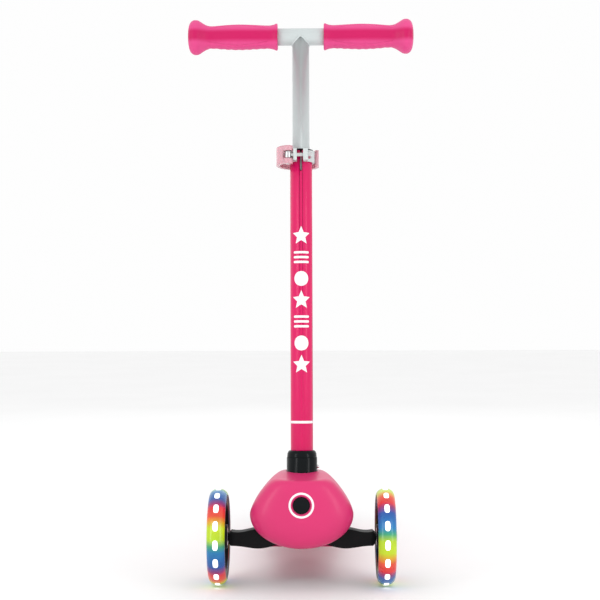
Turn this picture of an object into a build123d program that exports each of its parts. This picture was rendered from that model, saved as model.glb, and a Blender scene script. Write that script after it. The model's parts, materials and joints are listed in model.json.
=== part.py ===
from build123d import *
import math
import os

# Three-wheel kick scooter for a small child. Millimetres, +Z up, the front faces -Y, the floor is Z = 0.
# The origin is on the floor, midway along the length and the width.

# ---- overall sizes ----
LENGTH = 560.0
BAR_HEIGHT = 702.2          # crossbar centre above the floor, at the middle height setting
BAR_HALF = 147.0            # half of the handlebar's width, grips included
CAMBER_TRACK = 210.0        # between the front wheels' middle planes

# ---- wheels ----
FRONT_R = 60.5
FRONT_W = 22.5
FRONT_RIM_R = 43.0
REAR_R = 40.0
REAR_W = 24.0
REAR_RIM_R = 28.0
SHOULDER_DROP = 9.5         # how far the tread's shoulder lies below its crown
WINDOW_COUNT = 16
WINDOW_LEN = 14.0
WINDOW_W = 7.6
WINDOW_DEPTH = 3.0
BEARING_R = 11.0
BEARING_W = 7.0
AXLE_BORE_R = 4.0
RUN = 0.03                  # radial running clearance of the axles
HUB_R = 15.0
SPOKES = 6

# ---- stem ----
LEAN = 4.0                  # degrees, backwards
FOOT_BEHIND = 20.0          # stem's foot behind the front axle
OUTER_R = 14.3
OUTER_WALL = 1.8
INNER_R = 11.1
INNER_WALL = 1.5
OUTER_TOP = 411.0           # along the stem, from the cover's flat top
OUTER_FOOT = -36.0
INNER_INSIDE = 128.0        # length of the inner stem inside the outer tube
SLOT_W = 2.4
SLOT_LEN = 26.0
BUSH_FLANGE = 1.8
BUSH_LEN = 40.0
SLIDE_FIT = 0.05            # radial running clearance of the sliding stem
SOCKET_R = 19.5
SOCKET_TOP = 17.0
RING_H = 9.0
SOCKET_FIT = 0.05
SNAP_H = 5.4                # snap pin's centre above the cover's flat top
SNAP_R = 2.4

# ---- clamp ----
COLLAR_H = 15.0
COLLAR_T = 3.2
EAR_LEFT = 9.6              # outer face of the ear at the lever's end of the bolt
EAR_RIGHT = 9.2
GAP_LEFT = 5.2
GAP_RIGHT = 3.0
EAR_REACH = 12.7            # ears, ahead of the outer tube
BOLT_OUT = 7.2              # bolt's middle, ahead of the outer tube
BOLT_R = 2.5
BARREL_R = 4.5
BARREL_X = -16.5
CAM_PIN_R = 2.0
LEVER_H = 23.0
LEVER_T = 4.6
LEVER_BOSS_R = 6.4
LEVER_SLOT = 10.0
LEVER_LINE = [(-20.5, -23.5), (-28.5, -12), (-29, 4), (-20, 20), (0, 26.5), (15.5, 21), (20.6, 9)]

# ---- grips ----
GRIP_LENGTH = 117.0
GRIP_PROFILE = [            # from the grip's inner end, radius
    (1.4, 17.3), (4, 16.7), (14, 15.0), (32, 15.9), (50, 16.5), (68, 15.8), (85, 14.5),
    (95, 16.6), (101, 20.6), (106, 22.5), (112, 21.3), (115.6, 16.5),
]

# ---- head ----
RIM_AHEAD = 24.0            # cover's rim plane ahead of the front axle
COVER_DEPTH = 33.0          # of the full dome
FACE_DEPTH = 30.0           # where the dome is cut by the flat face
EGG_HALF = 64.3
EGG_Z = 93.0
EGG_UP = 62.0
EGG_DOWN = 43.0
TOP_Z = 140.5               # flat top that the socket stands out of
SHELL = 3.0
KING_TILT = 45.0            # kingpin's lean forwards, degrees from the vertical
KING_RISE = 7.9             # kingpin's middle above the axle
KING_R = 6.0
KING_FIT = 0.05
HUB_HALF = 14.0             # half length of the truck's hub along the kingpin
TRUCK_HUB_R = 15.0
LUG_GAP = 0.5
LUG_T = 8.0
LUG_R = 12.0
PIN_HEAD_R = 8.0
PIN_HEAD_T = 2.5
KING_NUT_R = 8.0
KING_NUT_T = 5.5
KING_BUSH_WALL = 2.0
YOKE_IN = 18.0              # yoke's backbone, from the kingpin's axis
YOKE_OUT = 30.0
YOKE_HALF = 15.0
ARM_END = 92.0
ARM_HALF_Y = 9.0
PAD_IN = 21.0               # truck's buffer pads and the plate behind them, from the middle
PAD_OUT = 29.0
PAD_HALF = 9.0
PAD_REACH = 15.0            # pads' faces, from the kingpin's axis
BUFFER_REACH = 28.0         # plate's face, from the kingpin's axis
PLATE_T = 4.0
PLATFORM_Z = 98.0
PLATFORM_T = 5.0
BUTTON_Z = 108.0
BUTTON_R = 10.1
BUTTON_GAP = 0.4
BUTTON_STEM_R = 4.0
CAP_T = 5.0
GUIDE_AHEAD = 24.0          # front of the button's guide, ahead of the front axle
GUIDE_LEN = 18.0
HOUSING_SECTIONS = [        # behind the axle, half width, centre height, up, down, top's power
    (-RIM_AHEAD, EGG_HALF, EGG_Z, EGG_UP, EGG_DOWN, 1.5),
    (0, 63.4, 93, 62, 44, 1.5),
    (24, 59.5, 91, 62, 46, 1.6),
    (46, 54.0, 86, 62, 43, 1.7),
    (70, 48.5, 75, 46, 32, 1.9),
    (94, 46.0, 64, 25, 20, 2.0),
    (114, 45.0, 58, 13, 14, 2.0),
]

# ---- deck ----
DECK_TOP = 66.0
DECK_BOTTOM = 42.0
DECK_WALL = 3.0
DECK_FRONT = 28.0           # behind the front axle
DECK_HALF = 58.0
NECK_HALF = 47.0
TAIL_HALF = 33.0
FORK_IN = 17.0
FORK_OUT = 27.0
FOOT_BACK = 80.0            # rear end of the head block's foot, behind the front axle
MAT_T = 1.6

# ---- brake ----
FENDER_IN = 44.0
FENDER_T = 2.5
FENDER_HALF = 15.0
HINGE_BACK = 52.0           # brake hinge ahead of the rear axle
HINGE_Z = 60.0
HINGE_R = 2.5
PAD_T = 1.0

AXLE_Y = -LENGTH / 2 + FRONT_R
REAR_Y = LENGTH / 2 - FENDER_IN - FENDER_T
WHEEL_X = CAMBER_TRACK / 2
FOOT_Y = AXLE_Y + FOOT_BEHIND
LUG_END = HUB_HALF + LUG_GAP + LUG_T
CLAMP_MID = OUTER_TOP - COLLAR_H / 2
EAR_FRONT = OUTER_R + EAR_REACH
BOLT_Y = -OUTER_R - BOLT_OUT
HINGE_Y = REAR_Y - HINGE_BACK

STEM = Location((0, FOOT_Y, TOP_Z), (-LEAN, 0, 0))
KING = Location((0, AXLE_Y, FRONT_R + KING_RISE), (KING_TILT, 0, 0))
BAR_ALONG = (BAR_HEIGHT - TOP_Z) / math.cos(math.radians(LEAN))
BAR_Y = FOOT_Y + BAR_ALONG * math.sin(math.radians(LEAN))
ON_BASE = (Align.CENTER, Align.CENTER, Align.MIN)


def rod(radius, low, high):
    return Pos(0, 0, low) * Cylinder(radius, high - low, align=ON_BASE)


def tube(outer, inner, low, high):
    return rod(outer, low, high) - rod(inner, low - 1, high + 1)


def block(x0, x1, y0, y1, z0, z1):
    centre = Pos((x0 + x1) / 2, (y0 + y1) / 2, (z0 + z1) / 2)
    return centre * Box(x1 - x0, y1 - y0, z1 - z0)


def across(y, z):
    """A place at (y, z) whose local Z runs along +X."""
    return Location((0, y, z), (0, 90, 0))


def merged(shapes):
    whole = shapes[0]
    for shape in shapes[1:]:
        whole += shape
    return whole


def both_sides(shape):
    return [shape, mirror(shape, about=Plane.YZ)]


# ---------------------------------------------------------------- wheels
def tyre_body(radius, rim, width):
    """The whole tyre about its own Z axis, with a rounded tread."""
    half = width / 2
    shoulder = radius - SHOULDER_DROP
    tread = Spline(
        [(shoulder, -half), (radius - 2.4, -half * 0.62), (radius, 0),
         (radius - 2.4, half * 0.62), (shoulder, half)]
    )
    lower = Line((rim, -half + 1), (shoulder, -half))
    upper = Line((shoulder, half), (rim, half - 1))
    back = Line((rim, half - 1), (rim, -half + 1))
    face = make_face([lower, tread, upper, back])
    return revolve(Plane.XZ * face, Axis.Z)


def window_blocks():
    """Oblong plugs that stand round the tread, pointing outwards."""
    plug = extrude(SlotOverall(WINDOW_LEN, WINDOW_W), 2 * WINDOW_DEPTH)
    step = 360 / WINDOW_COUNT
    out = []
    for i in range(WINDOW_COUNT):
        turn = Rot(0, 0, i * step)
        # the plug's long side lies round the wheel
        out.append(turn * Pos(FRONT_R - WINDOW_DEPTH, 0, 0) * Rot(0, 90, 0) * Rot(0, 0, 90) * plug)
    return out


def wheel_core(rim, width, spokes):
    """A spoked core about its own Z axis, with a bearing seat at each end."""
    half = width / 2
    core = tube(rim, rim - 3.5, -half + 1.5, half - 1.5)
    core += rod(HUB_R, -half, half)
    web = tube(rim - 1, HUB_R - 1, -3, 3)
    gap_r = (rim - 3.5 - HUB_R) / 2 - 1.5
    middle_r = (rim - 3.5 + HUB_R) / 2
    for i in range(spokes):
        hole = Rot(0, 0, i * 360 / spokes) * Pos(middle_r, 0, 0) * Cylinder(gap_r, width)
        web -= hole
    core += web
    seat = rod(BEARING_R, half - BEARING_W, half + 1) + rod(BEARING_R, -half - 1, -half + BEARING_W)
    core -= rod(BEARING_R - 2.5, -half, half)
    return core - seat


def bearings(width):
    half = width / 2
    one = tube(BEARING_R, AXLE_BORE_R, half - BEARING_W, half)
    return [one, mirror(one, about=Plane.XY)]


def hub_spacer(width):
    half = width / 2 - BEARING_W
    return tube(AXLE_BORE_R + 3, AXLE_BORE_R + 0.3, -half, half)


def front_wheels():
    """Both front wheels, the same but for their place."""
    whole = tyre_body(FRONT_R, FRONT_RIM_R, FRONT_W)
    plugs = window_blocks()
    made = {
        "tyre": whole - plugs,
        "light_windows": [whole & plug for plug in plugs],
        "wheel_core": wheel_core(FRONT_RIM_R, FRONT_W, SPOKES),
        "bearings": bearings(FRONT_W),
        "hub_spacer": hub_spacer(FRONT_W),
    }
    nodes = {}
    for side, x in (("left", -WHEEL_X), ("right", WHEEL_X)):
        place = Location((x, AXLE_Y, FRONT_R), (0, 90, 0))
        for name, shape in made.items():
            pieces = shape if isinstance(shape, list) else [shape]
            nodes[side + "_" + name] = [place * piece for piece in pieces]
    return nodes


def rear_wheel():
    place = across(REAR_Y, REAR_R)
    return {
        "rear_tyre": place * tyre_body(REAR_R, REAR_RIM_R, REAR_W),
        "rear_wheel_core": place * wheel_core(REAR_RIM_R, REAR_W, 0),
        "rear_bearings": [place * b for b in bearings(REAR_W)],
        "rear_hub_spacer": place * hub_spacer(REAR_W),
    }


# ---------------------------------------------------------------- front truck
def arm_profile():
    """One arm seen from the front: X outwards, Y up from the axle."""
    near_end = ARM_END - 3
    top = Spline([(0, 11), (35, 11.5), (61, 10.1), (75, 7.1), (near_end, 7.7)])
    bottom = Spline([(0, -11), (34, -10), (53, -13.6), (73, -11.5), (near_end, -10.3)])
    tip = Polyline([(near_end, 7.7), (ARM_END, 4.5), (ARM_END, -7.1), (near_end, -10.3)])
    root = Line((0, -11), (0, 11))
    return make_face([top, tip, bottom, root])


def truck():
    arm = Pos(0, AXLE_Y, FRONT_R) * extrude(Plane.XZ * arm_profile(), ARM_HALF_Y, both=True)
    spacer_reach = WHEEL_X - FRONT_W / 2 - RUN - 0.4
    neck = Location((0, AXLE_Y, FRONT_R), (0, 90, 0)) * rod(5.6, ARM_END - 1, spacer_reach)
    beam = merged(both_sides(arm + neck))
    hub = KING * rod(TRUCK_HUB_R, -HUB_HALF, HUB_HALF)
    pads = both_sides(KING * block(PAD_IN, PAD_OUT, -PAD_HALF, PAD_REACH, -PAD_HALF, PAD_HALF))
    whole = merged([beam, hub] + pads)
    whole -= KING * rod(KING_R + KING_BUSH_WALL, -LUG_END, LUG_END)
    # room for the lower lug and the nut under it
    whole -= KING * rod(LUG_R + 12, -3 * LUG_END, -HUB_HALF)
    axle_hole = Location((0, AXLE_Y, FRONT_R), (0, 90, 0)) * rod(AXLE_BORE_R - RUN, 40, 120)
    for hole in both_sides(axle_hole):
        whole -= hole
    return whole


def truck_bushes():
    sleeve = tube(KING_R + KING_BUSH_WALL, KING_R + KING_FIT, 1, HUB_HALF)
    return [KING * sleeve, KING * mirror(sleeve, about=Plane.XY)]


def front_axles():
    """A stub axle with a domed head outside each wheel."""
    place = Location((0, AXLE_Y, FRONT_R), (0, 90, 0))
    outer = WHEEL_X + FRONT_W / 2
    shank = rod(AXLE_BORE_R - RUN, 45, outer + 1)
    head = rod(7.0, outer + 0.4, outer + 3.4)
    head = fillet(head.edges().group_by(Axis.Z)[-1], 1.6)
    return both_sides(place * (shank + head))


# ---------------------------------------------------------------- head
def egg(half, up, down, up_power, count=20):
    """A closed egg outline: an ellipse below its widest line and a pointed oval above."""
    points = []
    for i in range(count):
        a = 2 * math.pi * (i + 0.5) / count
        c, s = math.cos(a), math.sin(a)
        if s < 0:
            points.append((half * c, down * s))
        else:
            x = half * math.copysign(abs(c) ** (2 / up_power), c)
            points.append((x, up * abs(s) ** (2 / up_power)))
    return make_face(Spline(points, periodic=True))


def egg_at(y, half, z, up, down, up_power):
    return Pos(0, y, z) * (Plane.XZ * egg(half, up, down, up_power))


def dome(inset):
    """The cover's dome from its rim plane forwards, drawn in by a wall's thickness."""
    levels = [0, 0.32, 0.58, 0.78, 0.92, 1.0]
    depth = COVER_DEPTH - inset
    sections = []
    for level in levels:
        w = (FACE_DEPTH - inset) * level
        scale = (1 - (w / depth) ** 2.4) ** (1 / 2.4)
        sections.append(
            egg_at(AXLE_Y - RIM_AHEAD - w, (EGG_HALF - inset) * scale, EGG_Z,
                   (EGG_UP - inset) * scale, (EGG_DOWN - inset) * scale, 1.5)
        )
    return loft(sections)


def below_top(shape, drop):
    return shape - block(-100, 100, -LENGTH, LENGTH, TOP_Z - drop, TOP_Z + 60)


def front_cover():
    shell = below_top(dome(0), 0) - below_top(dome(SHELL), SHELL)
    button_hole = Pos(0, AXLE_Y, BUTTON_Z) * Rot(90, 0, 0) * rod(BUTTON_R + BUTTON_GAP, 0, 100)
    return shell - button_hole


def housing_loft(inset):
    sections = []
    for y, half, z, up, down, power in HOUSING_SECTIONS:
        sections.append(egg_at(AXLE_Y + y, half - inset, z, up - inset, down - inset, power))
    return loft(sections)


def head_housing():
    shell = below_top(housing_loft(0), 0) - below_top(housing_loft(SHELL), SHELL)
    swing = DECK_FRONT - 4
    shell -= block(-90, 90, AXLE_Y - RIM_AHEAD - 1, AXLE_Y + swing, 20, 87)
    shell -= block(-90, 90, AXLE_Y, REAR_Y, 0, DECK_TOP)
    shell -= STEM * rod(SOCKET_R + 0.1, -60, 60)
    return shell


def yoke_part(x, n0, n1, t0, t1):
    return KING * block(-x, x, n0, n1, t0, t1)


def head_block():
    """The structural yoke: two kingpin lugs, a backbone, the socket's platform and a foot in the deck."""
    near = HUB_HALF + LUG_GAP
    parts = [yoke_part(YOKE_HALF, YOKE_IN, YOKE_OUT, -LUG_END, LUG_END)]
    for low, high in ((near, LUG_END), (-LUG_END, -near)):
        parts.append(KING * rod(LUG_R, low, high))
        parts.append(yoke_part(LUG_R, 0, YOKE_OUT, low, high))
    parts.append(yoke_part(PAD_OUT + 1, BUFFER_REACH, BUFFER_REACH + PLATE_T, -PAD_HALF, PAD_HALF))
    platform_low = PLATFORM_Z - PLATFORM_T
    parts.append(block(-22, 22, AXLE_Y - 3, AXLE_Y + 44, platform_low, PLATFORM_Z))
    parts.append(block(-10, 10, AXLE_Y - GUIDE_AHEAD, AXLE_Y, platform_low, PLATFORM_Z))
    parts.append(block(-15, 15, AXLE_Y + 26, AXLE_Y + 62, 62, PLATFORM_Z))
    parts.append(block(-15, 15, AXLE_Y + 36, AXLE_Y + FOOT_BACK, DECK_BOTTOM + 1, 78))
    whole = merged(parts)
    whole -= block(-60, 60, -LENGTH, LENGTH, PLATFORM_Z, PLATFORM_Z + 40)
    return whole - KING * rod(KING_R, -80, 80)


def kingpin():
    head = KING * rod(PIN_HEAD_R, LUG_END, LUG_END + PIN_HEAD_T)
    return KING * rod(KING_R, -LUG_END - KING_NUT_T - 0.5, LUG_END + 1) + head


def kingpin_nut():
    hexagon = extrude(RegularPolygon(KING_NUT_R, 6), KING_NUT_T)
    nut = Pos(0, 0, -LUG_END - KING_NUT_T) * hexagon - rod(KING_R, -2 * LUG_END, 0)
    return KING * nut


def steer_buffers():
    one = KING * block(PAD_IN + 0.5, PAD_OUT - 0.5, PAD_REACH, BUFFER_REACH, 1 - PAD_HALF, PAD_HALF - 1)
    return both_sides(one)


def tbar_socket():
    body = rod(SOCKET_R, -60, SOCKET_TOP) - rod(OUTER_R + SOCKET_FIT, OUTER_FOOT - 6, SOCKET_TOP + 1)
    body = STEM * body - block(-60, 60, -LENGTH, LENGTH, 0, PLATFORM_Z)
    return body - STEM * snap_hole()


def snap_hole():
    return Pos(0, 0, SNAP_H) * Rot(0, 90, 0) * rod(SNAP_R + 0.3, 0, SOCKET_R + 5)


def socket_ring():
    low = SOCKET_TOP
    high = low + RING_H
    outer = Polyline([(OUTER_R + 0.2, low), (SOCKET_R - 0.5, low), (SOCKET_R - 0.9, low + 5),
                      (SOCKET_R - 2.2, high - 1.2), (OUTER_R + 1.6, high), (OUTER_R + 0.2, high),
                      (OUTER_R + 0.2, low)])
    return STEM * revolve(Plane.XZ * make_face(outer), Axis.Z)


def lock_guide():
    hole = Pos(0, AXLE_Y, BUTTON_Z) * Rot(90, 0, 0) * rod(BUTTON_STEM_R + 0.05, -10, 60)
    front = AXLE_Y - GUIDE_AHEAD
    return block(-8, 8, front, front + GUIDE_LEN, PLATFORM_Z, BUTTON_Z + 2 * BUTTON_STEM_R) - hole


def lock_button():
    """A dished cap on a stem; it slides along +Y when it is pressed."""
    face = RIM_AHEAD + FACE_DEPTH + 0.8
    cap = rod(BUTTON_R, face - CAP_T, face)
    ball_r = 30.0
    cap -= Pos(0, 0, face - 1.4 + ball_r) * Sphere(ball_r)
    stem = rod(BUTTON_STEM_R, GUIDE_AHEAD - 12, face - CAP_T + 1)
    return Pos(0, AXLE_Y, BUTTON_Z) * Rot(90, 0, 0) * (cap + stem)


def coil(radius, wire, length, pitch):
    """A round-wire helical spring about its own Z axis."""
    path = Helix(pitch, length, radius)
    start = path @ 0
    section = Plane(start, z_dir=path % 0) * Circle(wire / 2)
    return sweep(section, path, is_frenet=True)


def lock_spring():
    room = RIM_AHEAD + FACE_DEPTH - CAP_T - GUIDE_AHEAD
    place = Pos(0, AXLE_Y - GUIDE_AHEAD - 0.6, BUTTON_Z) * Rot(90, 0, 0)
    return place * coil(6.0, 1.0, room - 1.0, 4.5)


# ---------------------------------------------------------------- stem
def outer_tube():
    body = tube(OUTER_R, OUTER_R - OUTER_WALL, OUTER_FOOT, OUTER_TOP)
    slot_low = OUTER_TOP - SLOT_LEN
    slot = block(-SLOT_W / 2, SLOT_W / 2, -OUTER_R - 2, 0, slot_low, OUTER_TOP + 1)
    end = Pos(0, 0, slot_low) * Rot(90, 0, 0) * rod(SLOT_W / 2, 0, OUTER_R + 2)
    return STEM * (body - slot - end - snap_hole())


def tube_foot_plug():
    inner = OUTER_R - OUTER_WALL
    shape = rod(OUTER_R, OUTER_FOOT - 4, OUTER_FOOT) + rod(inner, OUTER_FOOT - 1, OUTER_FOOT + 12)
    return STEM * shape


def clamp_bush():
    inner = INNER_R + SLIDE_FIT
    flange = tube(OUTER_R + 1.4, inner, OUTER_TOP, OUTER_TOP + BUSH_FLANGE)
    sleeve = tube(OUTER_R - OUTER_WALL, inner, OUTER_TOP - BUSH_LEN, OUTER_TOP + 1)
    gap = block(-SLOT_W / 2, SLOT_W / 2, -OUTER_R, 0, OUTER_TOP - SLOT_LEN, OUTER_TOP - 2)
    return STEM * (flange + sleeve - gap)


def clamp_collar():
    outer = OUTER_R + COLLAR_T
    low = OUTER_TOP - COLLAR_H
    ring = rod(outer, low, OUTER_TOP)
    ears = block(-EAR_LEFT, EAR_RIGHT, -EAR_FRONT, -5, low, OUTER_TOP)
    body = ring + ears - rod(OUTER_R, low - 1, OUTER_TOP + 1)
    body -= block(-GAP_LEFT, GAP_RIGHT, -EAR_FRONT - 1, 0, low - 1, OUTER_TOP + 1)
    body -= Pos(0, BOLT_Y, CLAMP_MID) * Rot(0, 90, 0) * rod(BOLT_R, -30, 30)
    return STEM * body


def clamp_bolt():
    place = Pos(0, BOLT_Y, CLAMP_MID)
    shank = place * Rot(0, 90, 0) * rod(BOLT_R, BARREL_X, EAR_RIGHT + 5)
    barrel = Pos(BARREL_X, BOLT_Y, 0) * rod(BARREL_R, CLAMP_MID - 4, CLAMP_MID + 4)
    hole = Pos(BARREL_X, BOLT_Y, 0) * rod(CAM_PIN_R + RUN, 0, OUTER_TOP + 20)
    return STEM * (shank + barrel - hole)


def clamp_nut():
    hexagon = Rot(0, 90, 0) * extrude(RegularPolygon(5.2, 6), 4.4)
    bolt = Rot(0, 90, 0) * rod(BOLT_R, -5, 10)
    return STEM * Pos(EAR_RIGHT, BOLT_Y, CLAMP_MID) * (hexagon - bolt)


def band(points, width):
    """A flat band of one width that follows a smooth line."""
    line = Spline(points)
    count = 16
    left = []
    right = []
    for i in range(count + 1):
        at = line @ (i / count)
        along = line % (i / count)
        side = Vector(-along.Y, along.X, 0) * (width / 2)
        left.append(at + side)
        right.append(at - side)
    ends = [Line(left[0], right[0]), Line(left[-1], right[-1])]
    return make_face([Spline(left), Spline(right)] + ends)


def clamp_lever():
    """A lever hinged in front on the left, which wraps behind the stem to its tip on the right."""
    low = CLAMP_MID - LEVER_H / 2
    strap = Pos(0, 0, low) * extrude(band(LEVER_LINE, LEVER_T), LEVER_H)
    boss = Pos(BARREL_X, BOLT_Y, 0) * rod(LEVER_BOSS_R, low, low + LEVER_H)
    pocket_x = BARREL_X - LEVER_BOSS_R - 0.1
    pocket = block(pocket_x, 0, 2 * BOLT_Y, 0, CLAMP_MID - LEVER_SLOT / 2, CLAMP_MID + LEVER_SLOT / 2)
    lever = strap + boss - pocket
    lever -= Pos(BARREL_X, BOLT_Y, 0) * rod(CAM_PIN_R, 0, OUTER_TOP + 30)
    lever -= Pos(0, 0, low - 1) * rod(OUTER_R + COLLAR_T + 0.6, 0, LEVER_H + 2)
    return STEM * lever


def cam_pin():
    half = LEVER_H / 2
    return STEM * Pos(BARREL_X, BOLT_Y, 0) * rod(CAM_PIN_R, CLAMP_MID - half, CLAMP_MID + half)


def snap_pin():
    reach = SOCKET_R + 2.6
    pin = rod(SNAP_R, OUTER_R - OUTER_WALL - 4, reach)
    pin = fillet(pin.edges().group_by(Axis.Z)[-1], 1.9)
    return STEM * Pos(0, 0, SNAP_H) * Rot(0, 90, 0) * pin


def inner_stem():
    low = OUTER_TOP - INNER_INSIDE
    body = tube(INNER_R, INNER_R - INNER_WALL, low, BAR_ALONG)
    return STEM * body - across(BAR_Y, BAR_HEIGHT) * rod(INNER_R, -40, 40)


def stem_foot_guide():
    low = OUTER_TOP - INNER_INSIDE
    guide = OUTER_R - OUTER_WALL - 0.08
    return STEM * (rod(guide, low - 6, low) + rod(INNER_R - INNER_WALL, low - 1, low + 14))


def crossbar():
    half = BAR_HALF - 7
    return across(BAR_Y, BAR_HEIGHT) * tube(INNER_R, INNER_R - INNER_WALL, -half, half)


def grips():
    inner_end = BAR_HALF - GRIP_LENGTH
    outline = Spline([(inner_end + u, r) for u, r in GRIP_PROFILE])
    start = inner_end + GRIP_PROFILE[0][0]
    stop = inner_end + GRIP_PROFILE[-1][0]
    first = Polyline([(start, 0), (inner_end, 0), (inner_end, 16.0), (start, GRIP_PROFILE[0][1])])
    last = Polyline([(stop, GRIP_PROFILE[-1][1]), (BAR_HALF, 9.0), (BAR_HALF, 0), (start, 0)])
    solid = revolve(make_face([first, outline, last]), Axis.X)
    bore = Rot(0, 90, 0) * rod(INNER_R, 0, BAR_HALF - 7)
    return both_sides(Pos(0, BAR_Y, BAR_HEIGHT) * (solid - bore))


# ---------------------------------------------------------------- deck
def deck_outline(inset):
    """Plan of the deck: a rounded front, a waist behind the head, a wide middle and a narrow tail."""
    front = AXLE_Y + DECK_FRONT
    waist = AXLE_Y + 100
    tail = REAR_Y - REAR_R - 12
    edge = [(40, front), (50.5, front + 12), (49.5, front + 35), (NECK_HALF, waist),
            (53, waist + 50), (DECK_HALF, waist + 110), (DECK_HALF - 3, waist + 175),
            (45, tail - 18), (TAIL_HALF, tail)]
    right = [(x - inset, y) for x, y in edge]
    left = [(-x, y) for x, y in right]
    nose = Line(left[0], right[0])
    back = Line(left[-1], right[-1])
    return make_face([nose, Spline(right), back, Spline(left)])


def fork_arm():
    """One arm beside the rear wheel, rounded round the axle."""
    tail = REAR_Y - REAR_R - 12
    plate = block(FORK_IN, FORK_OUT, tail - 30, REAR_Y, REAR_R - 11, REAR_R + 11)
    plate += across(REAR_Y, REAR_R) * rod(11, FORK_IN, FORK_OUT)
    rise = block(FORK_IN, FORK_OUT, tail - 30, tail + 12, REAR_R, DECK_TOP - 6)
    return plate + rise


def deck_pocket():
    """The hollow underside: the outline drawn in by the wall, with cross ribs left standing."""
    front = AXLE_Y + FOOT_BACK + 12
    tail = REAR_Y - REAR_R - 50
    inner = deck_outline(2 * DECK_WALL)
    hollow = Pos(0, 0, DECK_BOTTOM - 1) * extrude(inner, DECK_TOP - DECK_BOTTOM - 7)
    hollow &= block(-100, 100, front, tail, 0, DECK_TOP)
    ribs = 5
    for i in range(1, ribs + 1):
        y = front + (tail - front) * i / (ribs + 1)
        hollow -= block(-100, 100, y - 1.5, y + 1.5, 0, DECK_TOP)
    hollow -= block(-1.5, 1.5, front - 1, tail + 1, 0, DECK_TOP)
    return hollow


def mat_outline():
    front = AXLE_Y + 142
    tail = REAR_Y - REAR_R - 30
    window = Pos(0, (front + tail) / 2) * Rectangle(150, tail - front)
    return deck_outline(7) & window


def deck_shell():
    body = Pos(0, 0, DECK_BOTTOM) * extrude(deck_outline(0), DECK_TOP - DECK_BOTTOM)
    body = merged([body] + both_sides(fork_arm()))
    body -= deck_pocket()
    body -= Pos(0, 0, DECK_TOP - MAT_T) * extrude(mat_outline(), 10)
    body -= block(-15, 15, AXLE_Y, AXLE_Y + FOOT_BACK, 0, 100)
    body -= block(-31, 31, AXLE_Y, AXLE_Y + 42, 58, 100)
    body -= block(-9.5, 9.5, HINGE_Y - 8, REAR_Y, HINGE_Z - 7, 100)
    lug = block(10, FORK_OUT, HINGE_Y - 8, HINGE_Y + 6, HINGE_Z - 8, DECK_TOP)
    body = merged([body] + both_sides(lug))
    body -= across(HINGE_Y, HINGE_Z) * rod(HINGE_R, -60, 60)
    body -= across(REAR_Y, REAR_R) * rod(AXLE_BORE_R - RUN, -60, 60)
    return body


def deck_mat():
    mat = Pos(0, 0, DECK_TOP - MAT_T) * extrude(mat_outline(), MAT_T)
    return mat


def deck_screws():
    """Four screws that hold the head block's foot from below."""
    screw = rod(4.0, DECK_BOTTOM - 1.4, DECK_BOTTOM + 1)
    out = []
    for x in (-9, 9):
        for y in (50, 70):
            out.append(Pos(x, AXLE_Y + y, 0) * screw)
    return out


# ---------------------------------------------------------------- rear axle and brake
def rear_axle():
    place = across(REAR_Y, REAR_R)
    bolt = rod(AXLE_BORE_R - RUN, -FORK_OUT - 2, FORK_OUT + 6)
    head = rod(6.8, -FORK_OUT - 4, -FORK_OUT)
    return place * (bolt + head)


def rear_axle_nut():
    nut = extrude(RegularPolygon(7.2, 6), 5)
    hole = rod(AXLE_BORE_R - RUN, -1, 9)
    return Pos(FORK_OUT, 0, 0) * across(REAR_Y, REAR_R) * (nut - hole)


def rear_spacers():
    low = REAR_W / 2 + 0.4
    ring = tube(7.0, AXLE_BORE_R - RUN, low, FORK_IN)
    return both_sides(across(REAR_Y, REAR_R) * ring)


def fender():
    """A curved guard over the rear wheel, on a hinge ahead of it."""
    place = across(REAR_Y, REAR_R)
    outer = FENDER_IN + FENDER_T
    arc = place * tube(outer, FENDER_IN, -FENDER_HALF, FENDER_HALF)
    wedge = block(-30, 30, REAR_Y - 36, REAR_Y + 80, REAR_R - 6, 150)
    arc &= wedge
    link = block(-9, 9, HINGE_Y, REAR_Y - 33.0, HINGE_Z - 2, HINGE_Z + 4.5)
    wheel_room = place * rod(FENDER_IN, -30, 30)
    barrel = across(HINGE_Y, HINGE_Z) * rod(5.5, -9, 9)
    roof = block(-FENDER_HALF, FENDER_HALF, REAR_Y - 42, REAR_Y - 30, HINGE_Z, REAR_R + 31)
    shape = arc + (link + roof - wheel_room) + barrel
    return shape - across(HINGE_Y, HINGE_Z) * rod(HINGE_R + 0.05, -20, 20)


def brake_pad():
    place = across(REAR_Y, REAR_R)
    ring = place * tube(FENDER_IN, FENDER_IN - PAD_T, -10, 10)
    return ring & block(-20, 20, REAR_Y - 14, REAR_Y + 16, REAR_R + 20, 120)


def hinge_pin():
    return across(HINGE_Y, HINGE_Z) * rod(HINGE_R, -FORK_OUT, FORK_OUT)


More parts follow.
